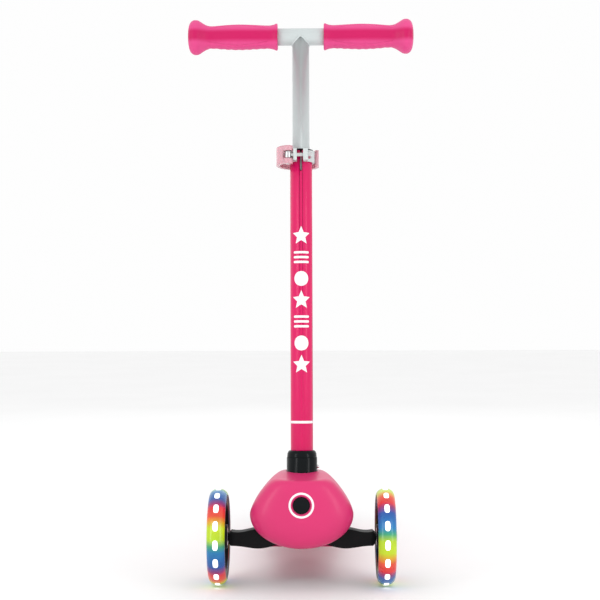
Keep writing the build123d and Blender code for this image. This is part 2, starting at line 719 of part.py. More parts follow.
# ---------------------------------------------------------------- build
def build():
    nodes = front_wheels()
    nodes.update(rear_wheel())
    left_grip, right_grip = grips()[1], grips()[0]
    nodes.update({
        "truck_beam": truck(),
        "truck_bushes": truck_bushes(),
        "front_axles": front_axles(),
        "front_cover": front_cover(),
        "head_housing": head_housing(),
        "head_block": head_block(),
        "kingpin": kingpin(),
        "kingpin_nut": kingpin_nut(),
        "steer_buffers": steer_buffers(),
        "tbar_socket": tbar_socket(),
        "socket_ring": socket_ring(),
        "lock_guide": lock_guide(),
        "lock_button": lock_button(),
        "lock_spring": lock_spring(),
        "outer_tube": outer_tube(),
        "tube_foot_plug": tube_foot_plug(),
        "clamp_bush": clamp_bush(),
        "clamp_collar": clamp_collar(),
        "clamp_bolt": clamp_bolt(),
        "clamp_nut": clamp_nut(),
        "clamp_lever": clamp_lever(),
        "cam_pin": cam_pin(),
        "snap_pin": snap_pin(),
        "inner_stem": inner_stem(),
        "stem_foot_guide": stem_foot_guide(),
        "crossbar": crossbar(),
        "left_grip": left_grip,
        "right_grip": right_grip,
        "deck_shell": deck_shell(),
        "deck_mat": deck_mat(),
        "deck_screws": deck_screws(),
        "rear_axle": rear_axle(),
        "rear_axle_nut": rear_axle_nut(),
        "rear_spacers": rear_spacers(),
        "brake_fender": fender(),
        "brake_pad": brake_pad(),
        "brake_hinge_pin": hinge_pin(),
    })
    return nodes


def solids_of(shape):
    if isinstance(shape, list):
        return [s for one in shape for s in one.solids()]
    return shape.solids()


os.makedirs("parts", exist_ok=True)
for node, shape in build().items():
    pieces = solids_of(shape)
    export_step(pieces[0] if len(pieces) == 1 else Compound(children=pieces), f"parts/{node}.step")
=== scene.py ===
import json
import math

import bmesh
import bpy
from mathutils import Matrix, Vector


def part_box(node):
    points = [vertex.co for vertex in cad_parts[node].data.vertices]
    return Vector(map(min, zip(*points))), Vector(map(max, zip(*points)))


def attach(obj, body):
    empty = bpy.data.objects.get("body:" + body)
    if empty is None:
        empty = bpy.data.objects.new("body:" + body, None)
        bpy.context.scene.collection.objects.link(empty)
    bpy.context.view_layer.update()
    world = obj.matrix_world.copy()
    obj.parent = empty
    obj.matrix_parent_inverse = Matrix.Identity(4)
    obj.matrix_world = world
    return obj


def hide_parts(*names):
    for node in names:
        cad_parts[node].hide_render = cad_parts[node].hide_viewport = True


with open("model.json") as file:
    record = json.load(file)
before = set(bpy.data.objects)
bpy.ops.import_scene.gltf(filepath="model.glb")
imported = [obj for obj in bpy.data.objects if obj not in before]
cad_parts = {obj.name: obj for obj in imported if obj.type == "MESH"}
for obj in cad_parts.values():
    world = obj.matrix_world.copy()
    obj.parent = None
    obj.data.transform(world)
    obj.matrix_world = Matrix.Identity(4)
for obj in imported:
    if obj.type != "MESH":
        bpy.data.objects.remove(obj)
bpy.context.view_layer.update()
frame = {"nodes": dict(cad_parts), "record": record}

# A child's three-wheel kick scooter. Metres, the front faces -Y, the floor is Z = 0.
MM = 0.001
NODES = frame["nodes"]
RECORD = frame["record"]
JOINTS = {joint["name"]: joint for joint in RECORD["behaviour"]["joints"]}


# ---------------------------------------------------------------- places read from the frame
def middle(node):
    low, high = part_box(node)
    return (low + high) / 2


def size_of(node):
    low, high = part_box(node)
    return high - low


AXLE = middle("left_tyre")
AXLE_Y, AXLE_Z = AXLE.y, AXLE.z
WHEEL_X = middle("right_tyre").x
WHEEL_R = size_of("left_tyre").z / 2
WHEEL_W = size_of("left_tyre").x
REAR = middle("rear_tyre")
REAR_R = size_of("rear_tyre").z / 2
REAR_W = size_of("rear_tyre").x
STEM_AXIS = Vector(JOINTS["handlebar_height"]["axis"]).normalized()
TUBE_R = size_of("outer_tube").x / 2
COVER_LOW, COVER_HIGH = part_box("front_cover")
RIM_Y = COVER_HIGH.y
COVER_DEPTH = COVER_HIGH.y - COVER_LOW.y
TOP_Z = COVER_HIGH.z
BUTTON = middle("lock_button")
BUTTON_R = size_of("lock_button").x / 2
BAR = middle("crossbar")
BAR_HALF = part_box("right_grip")[1].x
BAR_R = size_of("crossbar").z / 2
FOOT_BEHIND = 20 * MM
FOOT = Vector((0, AXLE_Y + FOOT_BEHIND, TOP_Z))

# stem's own frame: local Z runs up the stem, local -Y faces the front
STEM = Matrix.Translation(FOOT) @ Vector((0, 0, 1)).rotation_difference(STEM_AXIS).to_matrix().to_4x4()


# ---------------------------------------------------------------- camera, light and floor
CAMERA_BACK = 1.57
CAMERA_HEIGHT = 0.3583
CAMERA_YAW = math.radians(0.8)
CAMERA_ROLL = math.radians(0.22)
CAMERA_SIDE = -0.0014
LENS = 74.76


def make_camera():
    data = bpy.data.cameras.new("camera")
    data.lens = LENS
    data.sensor_width = 36.0
    camera = bpy.data.objects.new("camera", data)
    bpy.context.scene.collection.objects.link(camera)
    aim = Vector((0, AXLE_Y, CAMERA_HEIGHT))
    back = Vector((math.sin(CAMERA_YAW), -math.cos(CAMERA_YAW), 0))
    across = Vector((math.cos(CAMERA_YAW), math.sin(CAMERA_YAW), 0))
    camera.location = aim + back * CAMERA_BACK + across * CAMERA_SIDE
    camera.rotation_euler = (math.pi / 2, CAMERA_ROLL, CAMERA_YAW)
    bpy.context.scene.camera = camera


def area_light(name, place, target, width, height, power):
    data = bpy.data.lights.new(name, "AREA")
    data.shape = "RECTANGLE"
    data.size = width
    data.size_y = height
    data.energy = power
    lamp = bpy.data.objects.new(name, data)
    bpy.context.scene.collection.objects.link(lamp)
    lamp.location = place
    lamp.rotation_euler = (Vector(target) - Vector(place)).to_track_quat("-Z", "Y").to_euler()


def make_light():
    target = (0, AXLE_Y, 0.35)
    area_light("front", (0, -2.9, 1.5), target, 2.4, 1.6, 1)
    area_light("key_left", (-1.5, -1.5, 0.7), target, 0.4, 1.6, 8)
    area_light("key_right", (1.5, -1.5, 0.7), target, 0.4, 1.6, 8)
    area_light("top", (0, -0.2, 2.4), (0, 0, 0), 2.2, 2.2, 2)
    area_light("back", (0, 1.9, 1.2), (0, 0, 0.3), 1.6, 1.2, 3)
    world = bpy.data.worlds.new("studio")
    world.use_nodes = True
    background = world.node_tree.nodes["Background"]
    background.inputs["Color"].default_value = (1, 1, 1, 1)
    background.inputs["Strength"].default_value = 0.99
    bpy.context.scene.world = world
    bpy.context.scene.view_settings.view_transform = "Standard"


FLOOR_HALF = 7.0


def make_floor():
    size = FLOOR_HALF
    mesh = bpy.data.meshes.new("floor")
    mesh.from_pydata([(-size, -size, 0), (size, -size, 0), (size, size, 0), (-size, size, 0)],
                     [], [(0, 1, 2, 3)])
    floor = bpy.data.objects.new("floor", mesh)
    bpy.context.scene.collection.objects.link(floor)
    shader = Shader("floor_white", (0.93, 0.93, 0.93), 0.75)
    shader.speckle(0.01, 3)
    mesh.materials.append(shader.material)


# ---------------------------------------------------------------- materials
class Shader:
    """A principled material whose colour, roughness and bump come from procedural nodes."""

    def __init__(self, name, colour, roughness, metallic=0.0, coat=0.0):
        self.material = bpy.data.materials.new(name)
        self.material.use_nodes = True
        self.tree = self.material.node_tree
        self.shader = self.tree.nodes["Principled BSDF"]
        self.colour = colour
        self.roughness = roughness
        self.set("Base Color", (*colour, 1))
        self.set("Roughness", roughness)
        self.set("Metallic", metallic)
        self.set("Coat Weight", coat)
        self.set("Coat Roughness", 0.12)
        self.place = self.node("ShaderNodeTexCoord").outputs["Object"]
        self.height = None

    def node(self, kind):
        return self.tree.nodes.new(kind)

    def link(self, source, target):
        self.tree.links.new(source, target)

    def set(self, socket, value):
        self.shader.inputs[socket].default_value = value

    def noise(self, scale, detail=3.0, stretch=None):
        texture = self.node("ShaderNodeTexNoise")
        texture.inputs["Scale"].default_value = scale
        texture.inputs["Detail"].default_value = detail
        source = self.place
        if stretch:
            mapping = self.node("ShaderNodeMapping")
            mapping.inputs["Scale"].default_value = stretch
            self.link(source, mapping.inputs["Vector"])
            source = mapping.outputs["Vector"]
        self.link(source, texture.inputs["Vector"])
        return texture.outputs["Fac"]

    def spread(self, source, low, high):
        """A value from low to high as the noise goes over its usual span."""
        ranged = self.node("ShaderNodeMapRange")
        ranged.inputs["From Min"].default_value = 0.3
        ranged.inputs["From Max"].default_value = 0.7
        ranged.inputs["To Min"].default_value = low
        ranged.inputs["To Max"].default_value = high
        self.link(source, ranged.inputs["Value"])
        return ranged.outputs["Result"]

    def speckle(self, amount, scale, colour_source=None):
        """Slight darker and lighter patches in the colour."""
        mix = self.node("ShaderNodeMix")
        mix.data_type = "RGBA"
        mix.blend_type = "MULTIPLY"
        mix.inputs["Factor"].default_value = 1.0
        shade = self.node("ShaderNodeCombineColor")
        value = self.spread(self.noise(scale), 1 - amount, 1 + amount)
        for channel in ("Red", "Green", "Blue"):
            self.link(value, shade.inputs[channel])
        self.link(shade.outputs["Color"], mix.inputs[7])
        if colour_source is None:
            mix.inputs[6].default_value = (*self.colour, 1)
        else:
            self.link(colour_source, mix.inputs[6])
        self.link(mix.outputs[2], self.shader.inputs["Base Color"])
        return mix.outputs[2]

    def smudge(self, low, high, scale, stretch=None):
        self.link(self.spread(self.noise(scale, 4, stretch), low, high), self.shader.inputs["Roughness"])

    def bump(self, source, strength, distance):
        bump = self.node("ShaderNodeBump")
        bump.inputs["Strength"].default_value = strength
        bump.inputs["Distance"].default_value = distance
        self.link(source, bump.inputs["Height"])
        if self.height is not None:
            self.link(self.height, bump.inputs["Normal"])
        self.height = bump.outputs["Normal"]
        self.link(self.height, self.shader.inputs["Normal"])

    def pebble(self, scale):
        """Rounded grain, as on moulded rubber."""
        cells = self.node("ShaderNodeTexVoronoi")
        cells.feature = "SMOOTH_F1"
        cells.inputs["Scale"].default_value = scale
        self.link(self.place, cells.inputs["Vector"])
        return cells.outputs["Distance"]


def moulded(name, colour, roughness, grain_scale, grain, coat=0.0, specular=0.5):
    shader = Shader(name, colour, roughness, coat=coat)
    shader.set("Specular IOR Level", specular)
    shader.speckle(0.04, 9)
    shader.smudge(roughness - 0.05, roughness + 0.07, 14)
    shader.bump(shader.pebble(grain_scale), grain, 0.0003)
    return shader.material


def metal(name, colour, roughness, stretch, metallic=1.0):
    shader = Shader(name, colour, roughness, metallic=metallic)
    shader.speckle(0.03, 20)
    shader.smudge(roughness - 0.06, roughness + 0.08, 260, stretch)
    shader.bump(shader.noise(900, 2, stretch), 0.06, 0.0002)
    return shader.material


def grip_rubber(name):
    """Saturated along the middle of the grip and paler towards its top and bottom; the paler top and bottom
    are painted sheen, where light grazes the rubber.
    """
    shader = Shader(name, (0.56, 0.002, 0.105), 0.46)
    shader.set("Specular IOR Level", 0.3)
    parts = shader.node("ShaderNodeSeparateXYZ")
    shader.link(shader.place, parts.inputs["Vector"])
    height = shader.node("ShaderNodeMath")
    height.operation = "SUBTRACT"
    height.inputs[1].default_value = BAR.z
    shader.link(parts.outputs["Z"], height.inputs[0])
    away = shader.node("ShaderNodeMath")
    away.operation = "ABSOLUTE"
    shader.link(height.outputs["Value"], away.inputs[0])
    # painted sheen: the pink turns paler from 3.5 mm to 10.5 mm above and below the bar's middle height,
    # standing in for light on the grip's top and bottom
    share = shader.node("ShaderNodeMapRange")
    share.interpolation_type = "SMOOTHSTEP"
    share.inputs["From Min"].default_value = 3.5 * MM
    share.inputs["From Max"].default_value = 10.5 * MM
    shader.link(away.outputs["Value"], share.inputs["Value"])
    sheen_tones = shader.node("ShaderNodeMix")
    sheen_tones.data_type = "RGBA"
    sheen_tones.inputs[6].default_value = (0.56, 0.002, 0.105, 1)
    sheen_tones.inputs[7].default_value = (0.72, 0.06, 0.24, 1)
    shader.link(share.outputs["Result"], sheen_tones.inputs["Factor"])
    shader.speckle(0.04, 9, sheen_tones.outputs[2])
    shader.smudge(0.41, 0.53, 14)
    shader.bump(shader.pebble(1100), 0.1, 0.0003)
    return shader.material


def powder_paint(name, colour):
    shader = Shader(name, colour, 0.3, coat=0.2)
    shader.set("Specular IOR Level", 0.25)
    shader.speckle(0.03, 12)
    shader.smudge(0.28, 0.4, 25)
    shader.bump(shader.noise(1400, 2), 0.05, 0.0002)
    return shader.material


BAND_COLOURS = [            # position round a quarter turn, linear colour
    (0.00, (0.0, 0.12, 0.36)),
    (0.13, (0.006, 0.065, 0.30)),
    (0.22, (0.24, 0.02, 0.14)),
    (0.29, (0.62, 0.018, 0.03)),
    (0.42, (0.64, 0.06, 0.02)),
    (0.50, (0.62, 0.30, 0.01)),
    (0.58, (0.45, 0.58, 0.005)),
    (0.74, (0.38, 0.56, 0.005)),
    (0.83, (0.03, 0.30, 0.14)),
    (0.91, (0.0, 0.16, 0.38)),
]
BANDS_PER_TURN = 4
LEFT_PHASE = 0.81           # share of a band cycle at the front of each wheel
RIGHT_PHASE = 0.69


def rainbow(name, x, phase, sense):
    """Lit translucent tyre: colour bands that follow one another round the wheel's own axis."""
    shader = Shader(name, (0.5, 0.3, 0.1), 0.26, coat=0.15)
    away = shader.node("ShaderNodeVectorMath")
    away.operation = "SUBTRACT"
    away.inputs[1].default_value = (x, AXLE_Y, AXLE_Z)
    shader.link(shader.place, away.inputs[0])
    parts = shader.node("ShaderNodeSeparateXYZ")
    shader.link(away.outputs["Vector"], parts.inputs["Vector"])
    flip = shader.node("ShaderNodeMath")
    flip.operation = "MULTIPLY"
    flip.inputs[1].default_value = -1.0
    shader.link(parts.outputs["Y"], flip.inputs[0])
    angle = shader.node("ShaderNodeMath")
    angle.operation = "ARCTAN2"
    shader.link(parts.outputs["Z"], angle.inputs[0])
    shader.link(flip.outputs["Value"], angle.inputs[1])
    turns = shader.node("ShaderNodeMath")
    turns.operation = "MULTIPLY_ADD"
    turns.inputs[1].default_value = sense * BANDS_PER_TURN / (2 * math.pi)
    turns.inputs[2].default_value = phase
    shader.link(angle.outputs["Value"], turns.inputs[0])
    wave = shader.node("ShaderNodeMath")
    wave.operation = "FRACT"
    shader.link(turns.outputs["Value"], wave.inputs[0])
    ramp = shader.node("ShaderNodeValToRGB")
    stops = ramp.color_ramp.elements
    while len(stops) < len(BAND_COLOURS) + 1:
        stops.new(0.5)
    for stop, (position, colour) in zip(stops, BAND_COLOURS + [(1.0, BAND_COLOURS[0][1])]):
        stop.position = position
        stop.color = (*colour, 1)
    shader.link(wave.outputs["Value"], ramp.inputs["Fac"])
    shown = shader.speckle(0.10, 60, ramp.outputs["Color"])
    shader.link(shown, shader.shader.inputs["Emission Color"])
    shader.set("Emission Strength", 0.12)
    shader.smudge(0.2, 0.34, 30)
    shader.bump(shader.noise(300, 3), 0.05, 0.0004)
    return shader.material


def glowing_window(name):
    shader = Shader(name, (0.93, 0.94, 0.95), 0.3)
    colour = shader.speckle(0.05, 120)
    shader.link(colour, shader.shader.inputs["Emission Color"])
    shader.set("Emission Strength", 0.75)
    shader.bump(shader.noise(500, 2), 0.05, 0.0003)
    return shader.material


def white_print(name):
    shader = Shader(name, (0.86, 0.84, 0.85), 0.4)
    shader.speckle(0.03, 80)
    shader.smudge(0.35, 0.48, 60)
    shader.bump(shader.noise(1500, 2), 0.04, 0.0001)
    return shader.material


def lever_plastic(name):
    shader = Shader(name, (0.80, 0.42, 0.49), 0.22, coat=0.3)
    shader.speckle(0.05, 50)
    shader.smudge(0.17, 0.3, 60)
    shader.bump(shader.noise(400, 2), 0.05, 0.0002)
    shader.set("Transmission Weight", 0.25)
    shader.set("Subsurface Weight", 0.15)
    shader.set("Subsurface Radius", (0.004, 0.002, 0.002))
    return shader.material


def make_materials():
    along_x = (0.03, 1, 1)
    along_z = (1, 1, 0.03)
    return {
        "pink_paint": powder_paint("pink_paint", (0.66, 0.001, 0.108)),
        "pink_shell": moulded("pink_shell", (0.64, 0.028, 0.148), 0.38, 900, 0.035,
                              coat=0.08, specular=0.3),
        "pink_grip": grip_rubber("pink_grip"),
        # painted shade: dull dark grey for the front tyres' inner flanks, which are really rainbow-coloured
        # like the tread
        "tyre_flank": moulded("tyre_flank", (0.10, 0.12, 0.12), 0.5, 700, 0.1, specular=0.3),
        "pink_lever": lever_plastic("pink_lever"),
        "black_plastic": moulded("black_plastic", (0.008, 0.008, 0.009), 0.45, 1300, 0.12,
                                 specular=0.1),
        "black_gloss": moulded("black_gloss", (0.002, 0.004, 0.005), 0.2, 1500, 0.03,
                               coat=0.03, specular=0.12),
        "alu": metal("alu", (0.60, 0.65, 0.65), 0.42, along_z, 0.35),
        "alu_bar": metal("alu_bar", (0.56, 0.61, 0.61), 0.42, along_x, 0.35),
        "steel": metal("steel", (0.62, 0.62, 0.63), 0.28, along_x),
        "tyre_rear": moulded("tyre_rear", (0.030, 0.030, 0.032), 0.4, 700, 0.08),
        "black_rubber": moulded("black_rubber", (0.014, 0.014, 0.015), 0.6, 800, 0.2),
        "deck_mat": moulded("deck_mat", (0.022, 0.022, 0.024), 0.62, 600, 0.25),
        "light_window": glowing_window("light_window"),
        "white_print": white_print("white_print"),
    }


# ---------------------------------------------------------------- mesh helpers
def new_piece(name, points, faces, material, body):
    mesh = bpy.data.meshes.new(name)
    mesh.from_pydata([tuple(p) for p in points], [], faces)
    mesh.validate()
    mesh.materials.append(material)
    for polygon in mesh.polygons:
        polygon.use_smooth = True
    piece = bpy.data.objects.new(name, mesh)
    bpy.context.scene.collection.objects.link(piece)
    tidy = bmesh.new()
    tidy.from_mesh(mesh)
    bmesh.ops.remove_doubles(tidy, verts=tidy.verts, dist=1e-6)
    bmesh.ops.recalc_face_normals(tidy, faces=tidy.faces)
    tidy.to_mesh(mesh)
    tidy.free()
    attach(piece, body)
    return piece


def lathe(profile, turns, place):
    """Points and faces of a profile [(radius, along)] turned about place's local Z."""
    points = []
    faces = []
    count = len(profile)
    for i in range(turns):
        a = 2 * math.pi * i / turns
        for radius, along in profile:
            points.append(place @ Vector((radius * math.cos(a), radius * math.sin(a), along)))
    for i in range(turns):
        j = (i + 1) % turns
        for k in range(count):
            m = (k + 1) % count
            faces.append((i * count + k, j * count + k, j * count + m, i * count + m))
    return points, faces


def grid_faces(rows, columns, closed):
    faces = []
    span = columns if closed else columns - 1
    for i in range(rows - 1):
        for j in range(span):
            k = (j + 1) % columns
            faces.append((i * columns + j, i * columns + k, (i + 1) * columns + k, (i + 1) * columns + j))
    return faces


def smooth_curve(points, steps):
    """A Catmull-Rom curve through [(x, y, ...)] points."""
    ends = [points[0]] + list(points) + [points[-1]]
    out = []
    for i in range(1, len(ends) - 2):
        p0, p1, p2, p3 = (Vector(p) for p in ends[i - 1:i + 3])
        for k in range(steps):
            t = k / steps
            out.append(0.5 * (2 * p1 + (p2 - p0) * t + (2 * p0 - 5 * p1 + 4 * p2 - p3) * t * t
                              + (3 * p1 - p0 - 3 * p2 + p3) * t ** 3))
    out.append(Vector(points[-1]))
    return out


def solidify(piece, thickness, offset):
    shell = piece.modifiers.new("wall", "SOLIDIFY")
    shell.thickness = thickness
    shell.offset = offset
    shell.use_even_offset = True


def apply_modifiers(piece):
    graph = bpy.context.evaluated_depsgraph_get()
    mesh = bpy.data.meshes.new_from_object(piece.evaluated_get(graph))
    piece.modifiers.clear()
    piece.data = mesh


def cut_away(piece, cutters):
    """Cuts temporary solids out of a piece and deletes them."""
    for cutter in cutters:
        cut = piece.modifiers.new("cut", "BOOLEAN")
        cut.operation = "DIFFERENCE"
        cut.solver = "EXACT"
        cut.object = cutter
    bpy.context.view_layer.update()
    apply_modifiers(piece)
    for cutter in cutters:
        bpy.data.objects.remove(cutter)


def cutter_box(low, high):
    corners = [(x, y, z) for x in (low[0], high[0]) for y in (low[1], high[1]) for z in (low[2], high[2])]
    faces = [(0, 1, 3, 2), (4, 6, 7, 5), (0, 4, 5, 1), (2, 3, 7, 6), (0, 2, 6, 4), (1, 5, 7, 3)]
    return cutter_mesh(corners, faces)


def cutter_mesh(points, faces):
    mesh = bpy.data.meshes.new("cutter")
    mesh.from_pydata([tuple(p) for p in points], [], faces)
    cutter = bpy.data.objects.new("cutter", mesh)
    bpy.context.scene.collection.objects.link(cutter)
    return cutter


def cutter_rod(place, radius, low, high, turns=96):
    points = []
    for along in (low, high):
        for i in range(turns):
            a = 2 * math.pi * i / turns
            points.append(place @ Vector((radius * math.cos(a), radius * math.sin(a), along)))
    faces = [(i, (i + 1) % turns, turns + (i + 1) % turns, turns + i) for i in range(turns)]
    faces.append(tuple(reversed(range(turns))))
    faces.append(tuple(range(turns, 2 * turns)))
    return cutter_mesh(points, faces)


# ---------------------------------------------------------------- wheels
TREAD_DROP = 9.5 * MM


def tyre_profile(radius, rim, width, crown_drop):
    """Cross-section of a tyre as (radius, along): straight flanks and a rounded tread."""
    half = width / 2
    shoulder = radius - TREAD_DROP
    out = [(rim, -half + 1.2 * MM), (rim, half - 1.2 * MM)]
    flank = 5
    for i in range(flank):
        t = i / flank
        out.append((rim + (shoulder - rim) * t + 0.3 * MM, half - 0.9 * MM * (1 - t)))
    arc = 24
    for i in range(arc + 1):
        a = math.pi * i / arc
        out.append((shoulder + (radius - crown_drop - shoulder) * math.sin(a) ** 0.9, half * math.cos(a)))
    for i in range(flank - 1, -1, -1):
        t = i / flank
        out.append((rim + (shoulder - rim) * t + 0.3 * MM, -half + 0.9 * MM * (1 - t)))
    return out


RIM_GAP = 0.05 * MM
FRONT_CROWN_DROP = 0.35 * MM
SHADED_FLANK_DEPTH = 7.5 * MM      # the painted shade on the inner flank starts this far below the tread's crown
SHADED_FLANK_SHARE = 0.4           # and this share of the width in from the tyre's middle


def wheel_place(x, y, z):
    return Matrix.Translation((x, y, z)) @ Matrix.Rotation(math.pi / 2, 4, "Y")


def make_tyre(side, x, material, flank):
    rim = size_of("left_wheel_core").z / 2 + RIM_GAP
    profile = tyre_profile(WHEEL_R, rim, WHEEL_W, FRONT_CROWN_DROP)
    points, faces = lathe(profile, 160, wheel_place(x, AXLE_Y, AXLE_Z))
    tyre = new_piece(side + "_rainbow_tyre", points, faces, material, side + "_wheel")
    tyre.data.materials.append(flank)
    # painted shade: inner flank faces below the tread take the dark grey material in place of the rainbow
    for polygon in tyre.data.polygons:
        reach = math.hypot(polygon.center.y - AXLE_Y, polygon.center.z - AXLE_Z)
        inward = abs(polygon.center.x) < WHEEL_X - WHEEL_W * SHADED_FLANK_SHARE
        if inward and reach < WHEEL_R - SHADED_FLANK_DEPTH:
            polygon.material_index = 1
    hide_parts(side + "_tyre")


WINDOWS = 16
WINDOW_HALF_LEN = 7.0 * MM
WINDOW_HALF_W = 3.7 * MM


def tread_radius(along):
    half = WHEEL_W / 2
    shoulder = WHEEL_R - TREAD_DROP
    crown = WHEEL_R - FRONT_CROWN_DROP
    a = math.acos(max(-1.0, min(1.0, along / half)))
    return shoulder + (crown - shoulder) * math.sin(a) ** 0.9


def make_windows(side, x, material):
    """Oblong glowing lenses, slightly proud of the tread, all in one piece."""
    place = wheel_place(x, AXLE_Y, AXLE_Z)
    rings = 5
    around = 28
    points = []
    faces = []
    for w in range(WINDOWS):
        middle_angle = 2 * math.pi * w / WINDOWS
        base = len(points)
        for r in range(rings, -1, -1):
            share = r / rings
            rise = 0.30 * MM * (1 - share ** 4) - 0.25 * MM * (share ** 8)
            for k in range(around):
                a = 2 * math.pi * k / around
                c, s = math.cos(a), math.sin(a)
                bulge = (abs(c) ** 3.2 + abs(s) ** 3.2) ** (-1 / 3.2)
                u = WINDOW_HALF_LEN * share * c * bulge
                v = WINDOW_HALF_W * share * s * bulge
                radius = min(tread_radius(v) + rise, WHEEL_R)
                turn = middle_angle + u / radius
                points.append(place @ Vector((radius * math.cos(turn), radius * math.sin(turn), v)))
        for r in range(rings):
            for k in range(around):
                m = (k + 1) % around
                faces.append((base + r * around + k, base + r * around + m,
                              base + (r + 1) * around + m, base + (r + 1) * around + k))
    lenses = new_piece(side + "_lenses", points, faces, material, side + "_wheel")
    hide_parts(side + "_light_windows")


def make_rear_tyre(material):
    rim = size_of("rear_wheel_core").z / 2 + RIM_GAP
    profile = tyre_profile(REAR_R, rim, REAR_W, 0.0)
    points, faces = lathe(profile, 128, wheel_place(0, REAR.y, REAR.z))
    tyre = new_piece("rear_cast_tyre", points, faces, material, "rear_wheel")
    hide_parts("rear_tyre")


# ---------------------------------------------------------------- egg-shaped head
EGG_HALF = 64.3 * MM
EGG_Z = 93.0 * MM
EGG_UP = 62.0 * MM
EGG_DOWN = 43.0 * MM
SHOULDER = 6.0 * MM
SHELL_WALL = 2.4 * MM
BUTTON_GAP = 0.35 * MM


def soft_min(value, limit, radius):
    """value, rounded off over radius as it comes up to limit."""
    d = value - limit
    if d > radius:
        return limit
    if d < -radius:
        return value
    return limit - (radius - d) ** 2 / (4 * radius)


def top_limit(y):
    """Height of the head's flat top, which slopes down ahead of the socket and behind it."""
    ahead = max(0.0, FOOT.y - 14 * MM - y)
    behind = max(0.0, y - FOOT.y - 14 * MM)
    return TOP_Z - 0.07 * ahead - 0.22 * behind


def egg_share(x, z):
    """0 at the egg's middle and 1 on its outline; the upper half is pointed only near the outline."""
    up = z - EGG_Z
    if up < 0:
        return math.hypot(x / EGG_HALF, up / EGG_DOWN)
    share = math.hypot(x / EGG_HALF, up / EGG_UP)
    for _ in range(3):
        power = 2 - 0.5 * min(share, 1.0) ** 3
        share = (abs(x / EGG_HALF) ** power + (up / EGG_UP) ** power) ** (1 / power)
    return share


def cover_depth(share):
    """How far the cover stands ahead of its rim plane."""
    share = min(max(share, 0.0), 1.0)
    return COVER_DEPTH * (1 - share ** 2.7) ** (1 / 2.15)


def make_cover(material):
    """The dome, as rays from the button's hole out to the rim."""
    around = 160
    rings = 64
    hole = BUTTON_R + BUTTON_GAP
    centre_z = BUTTON.z
    points = []
    for r in range(rings + 1):
        t = math.sin(r / rings * math.pi / 2) ** 0.85
        for k in range(around):
            a = 2 * math.pi * k / around
            dx, dz = math.cos(a), math.sin(a)
            low, high = hole, 0.16
            for _ in range(30):
                far = (low + high) / 2
                if egg_share(dx * far, centre_z + dz * far) < 1:
                    low = far
                else:
                    high = far
            reach = hole + (far - hole) * t
            x, z = dx * reach, centre_z + dz * reach
            depth = cover_depth(egg_share(x, z)) if r < rings else 0.0
            y = RIM_Y - depth
            points.append((x, y, soft_min(z, top_limit(y), SHOULDER)))
    faces = grid_faces(rings + 1, around, True)
    cover = new_piece("cover_dome", points, faces, material, "deck")
    solidify(cover, SHELL_WALL, -1)
    apply_modifiers(cover)
    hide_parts("front_cover")


HOUSING_SECTIONS = [        # behind the axle, half width, centre height, up, down, top's power
    (-24.0, 64.3, 93, 62, 43, 1.5),
    (0, 63.4, 93, 62, 44, 1.5),
    (24, 59.5, 91, 62, 46, 1.6),
    (46, 54.0, 86, 62, 43, 1.7),
    (70, 48.5, 75, 46, 32, 1.9),
    (94, 46.0, 64, 25, 20, 2.0),
    (114, 45.0, 58, 13, 14, 2.0),
]


def make_housing(material):
    """The rear of the head, from the cover's rim back to the deck."""
    around = 160
    rows = HOUSING_SECTIONS
    steps = 12
    fine = []
    for i in range(len(rows) - 1):
        for k in range(steps):
            fine.append(blend_rows(rows, i, k / steps))
    fine.append(rows[-1])
    points = []
    for y, half, z, up, down, power in fine:
        for k in range(around):
            a = 2 * math.pi * (k + 0.5) / around
            c, s = math.cos(a), math.sin(a)
            if s < 0:
                x, high = half * c, down * s
            else:
                x = half * math.copysign(abs(c) ** (2 / power), c)
                high = up * abs(s) ** (2 / power)
            place = AXLE_Y + y * MM
            points.append((x * MM, place, soft_min((z + high) * MM, top_limit(place), SHOULDER)))
    faces = grid_faces(len(fine), around, True)
    housing = new_piece("head_shell", points, faces, material, "deck")
    solidify(housing, SHELL_WALL, -1)
    bpy.context.view_layer.update()
    apply_modifiers(housing)
    deck_low, deck_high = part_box("deck_shell")
    swing = cutter_box((-0.09, RIM_Y - 0.01, 0.02), (0.09, AXLE_Y + 24 * MM, 87 * MM))
    board = cutter_box((-0.09, AXLE_Y, 0.0), (0.09, 0.3, deck_high.z))
    socket = cutter_rod(STEM, size_of("tbar_socket").x / 2 + 0.1 * MM, -0.05, 0.06)
    cut_away(housing, [swing, board, socket])
    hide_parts("head_housing")


def blend_rows(rows, i, t):
    """Catmull-Rom between two rows of numbers."""
    p0 = rows[max(i - 1, 0)]
    p1, p2 = rows[i], rows[i + 1]
    p3 = rows[min(i + 2, len(rows) - 1)]
    out = []
    for a, b, c, d in zip(p0, p1, p2, p3):
        out.append(0.5 * (2 * b + (c - a) * t + (2 * a - 5 * b + 4 * c - d) * t * t
                          + (3 * b - a - 3 * c + d) * t ** 3))
    return tuple(out)


RING_INNER = 13.0 * MM
RING_OUTER = 15.6 * MM
PRINT_LIFT = 0.06 * MM
RING_LIFT = 0.07 * MM


def make_button_ring(material):
    """A plain white ring printed round the button."""
    around = 96
    rings = 4
    points = []
    for r in range(rings + 1):
        radius = RING_INNER + (RING_OUTER - RING_INNER) * r / rings
        for k in range(around):
            a = 2 * math.pi * k / around
            x, z = radius * math.cos(a), BUTTON.z + radius * math.sin(a)
            points.append((x, RIM_Y - cover_depth(egg_share(x, z)) - RING_LIFT, z))
    faces = grid_faces(rings + 1, around, True)
    new_piece("button_ring_print", points, faces, material, "deck")


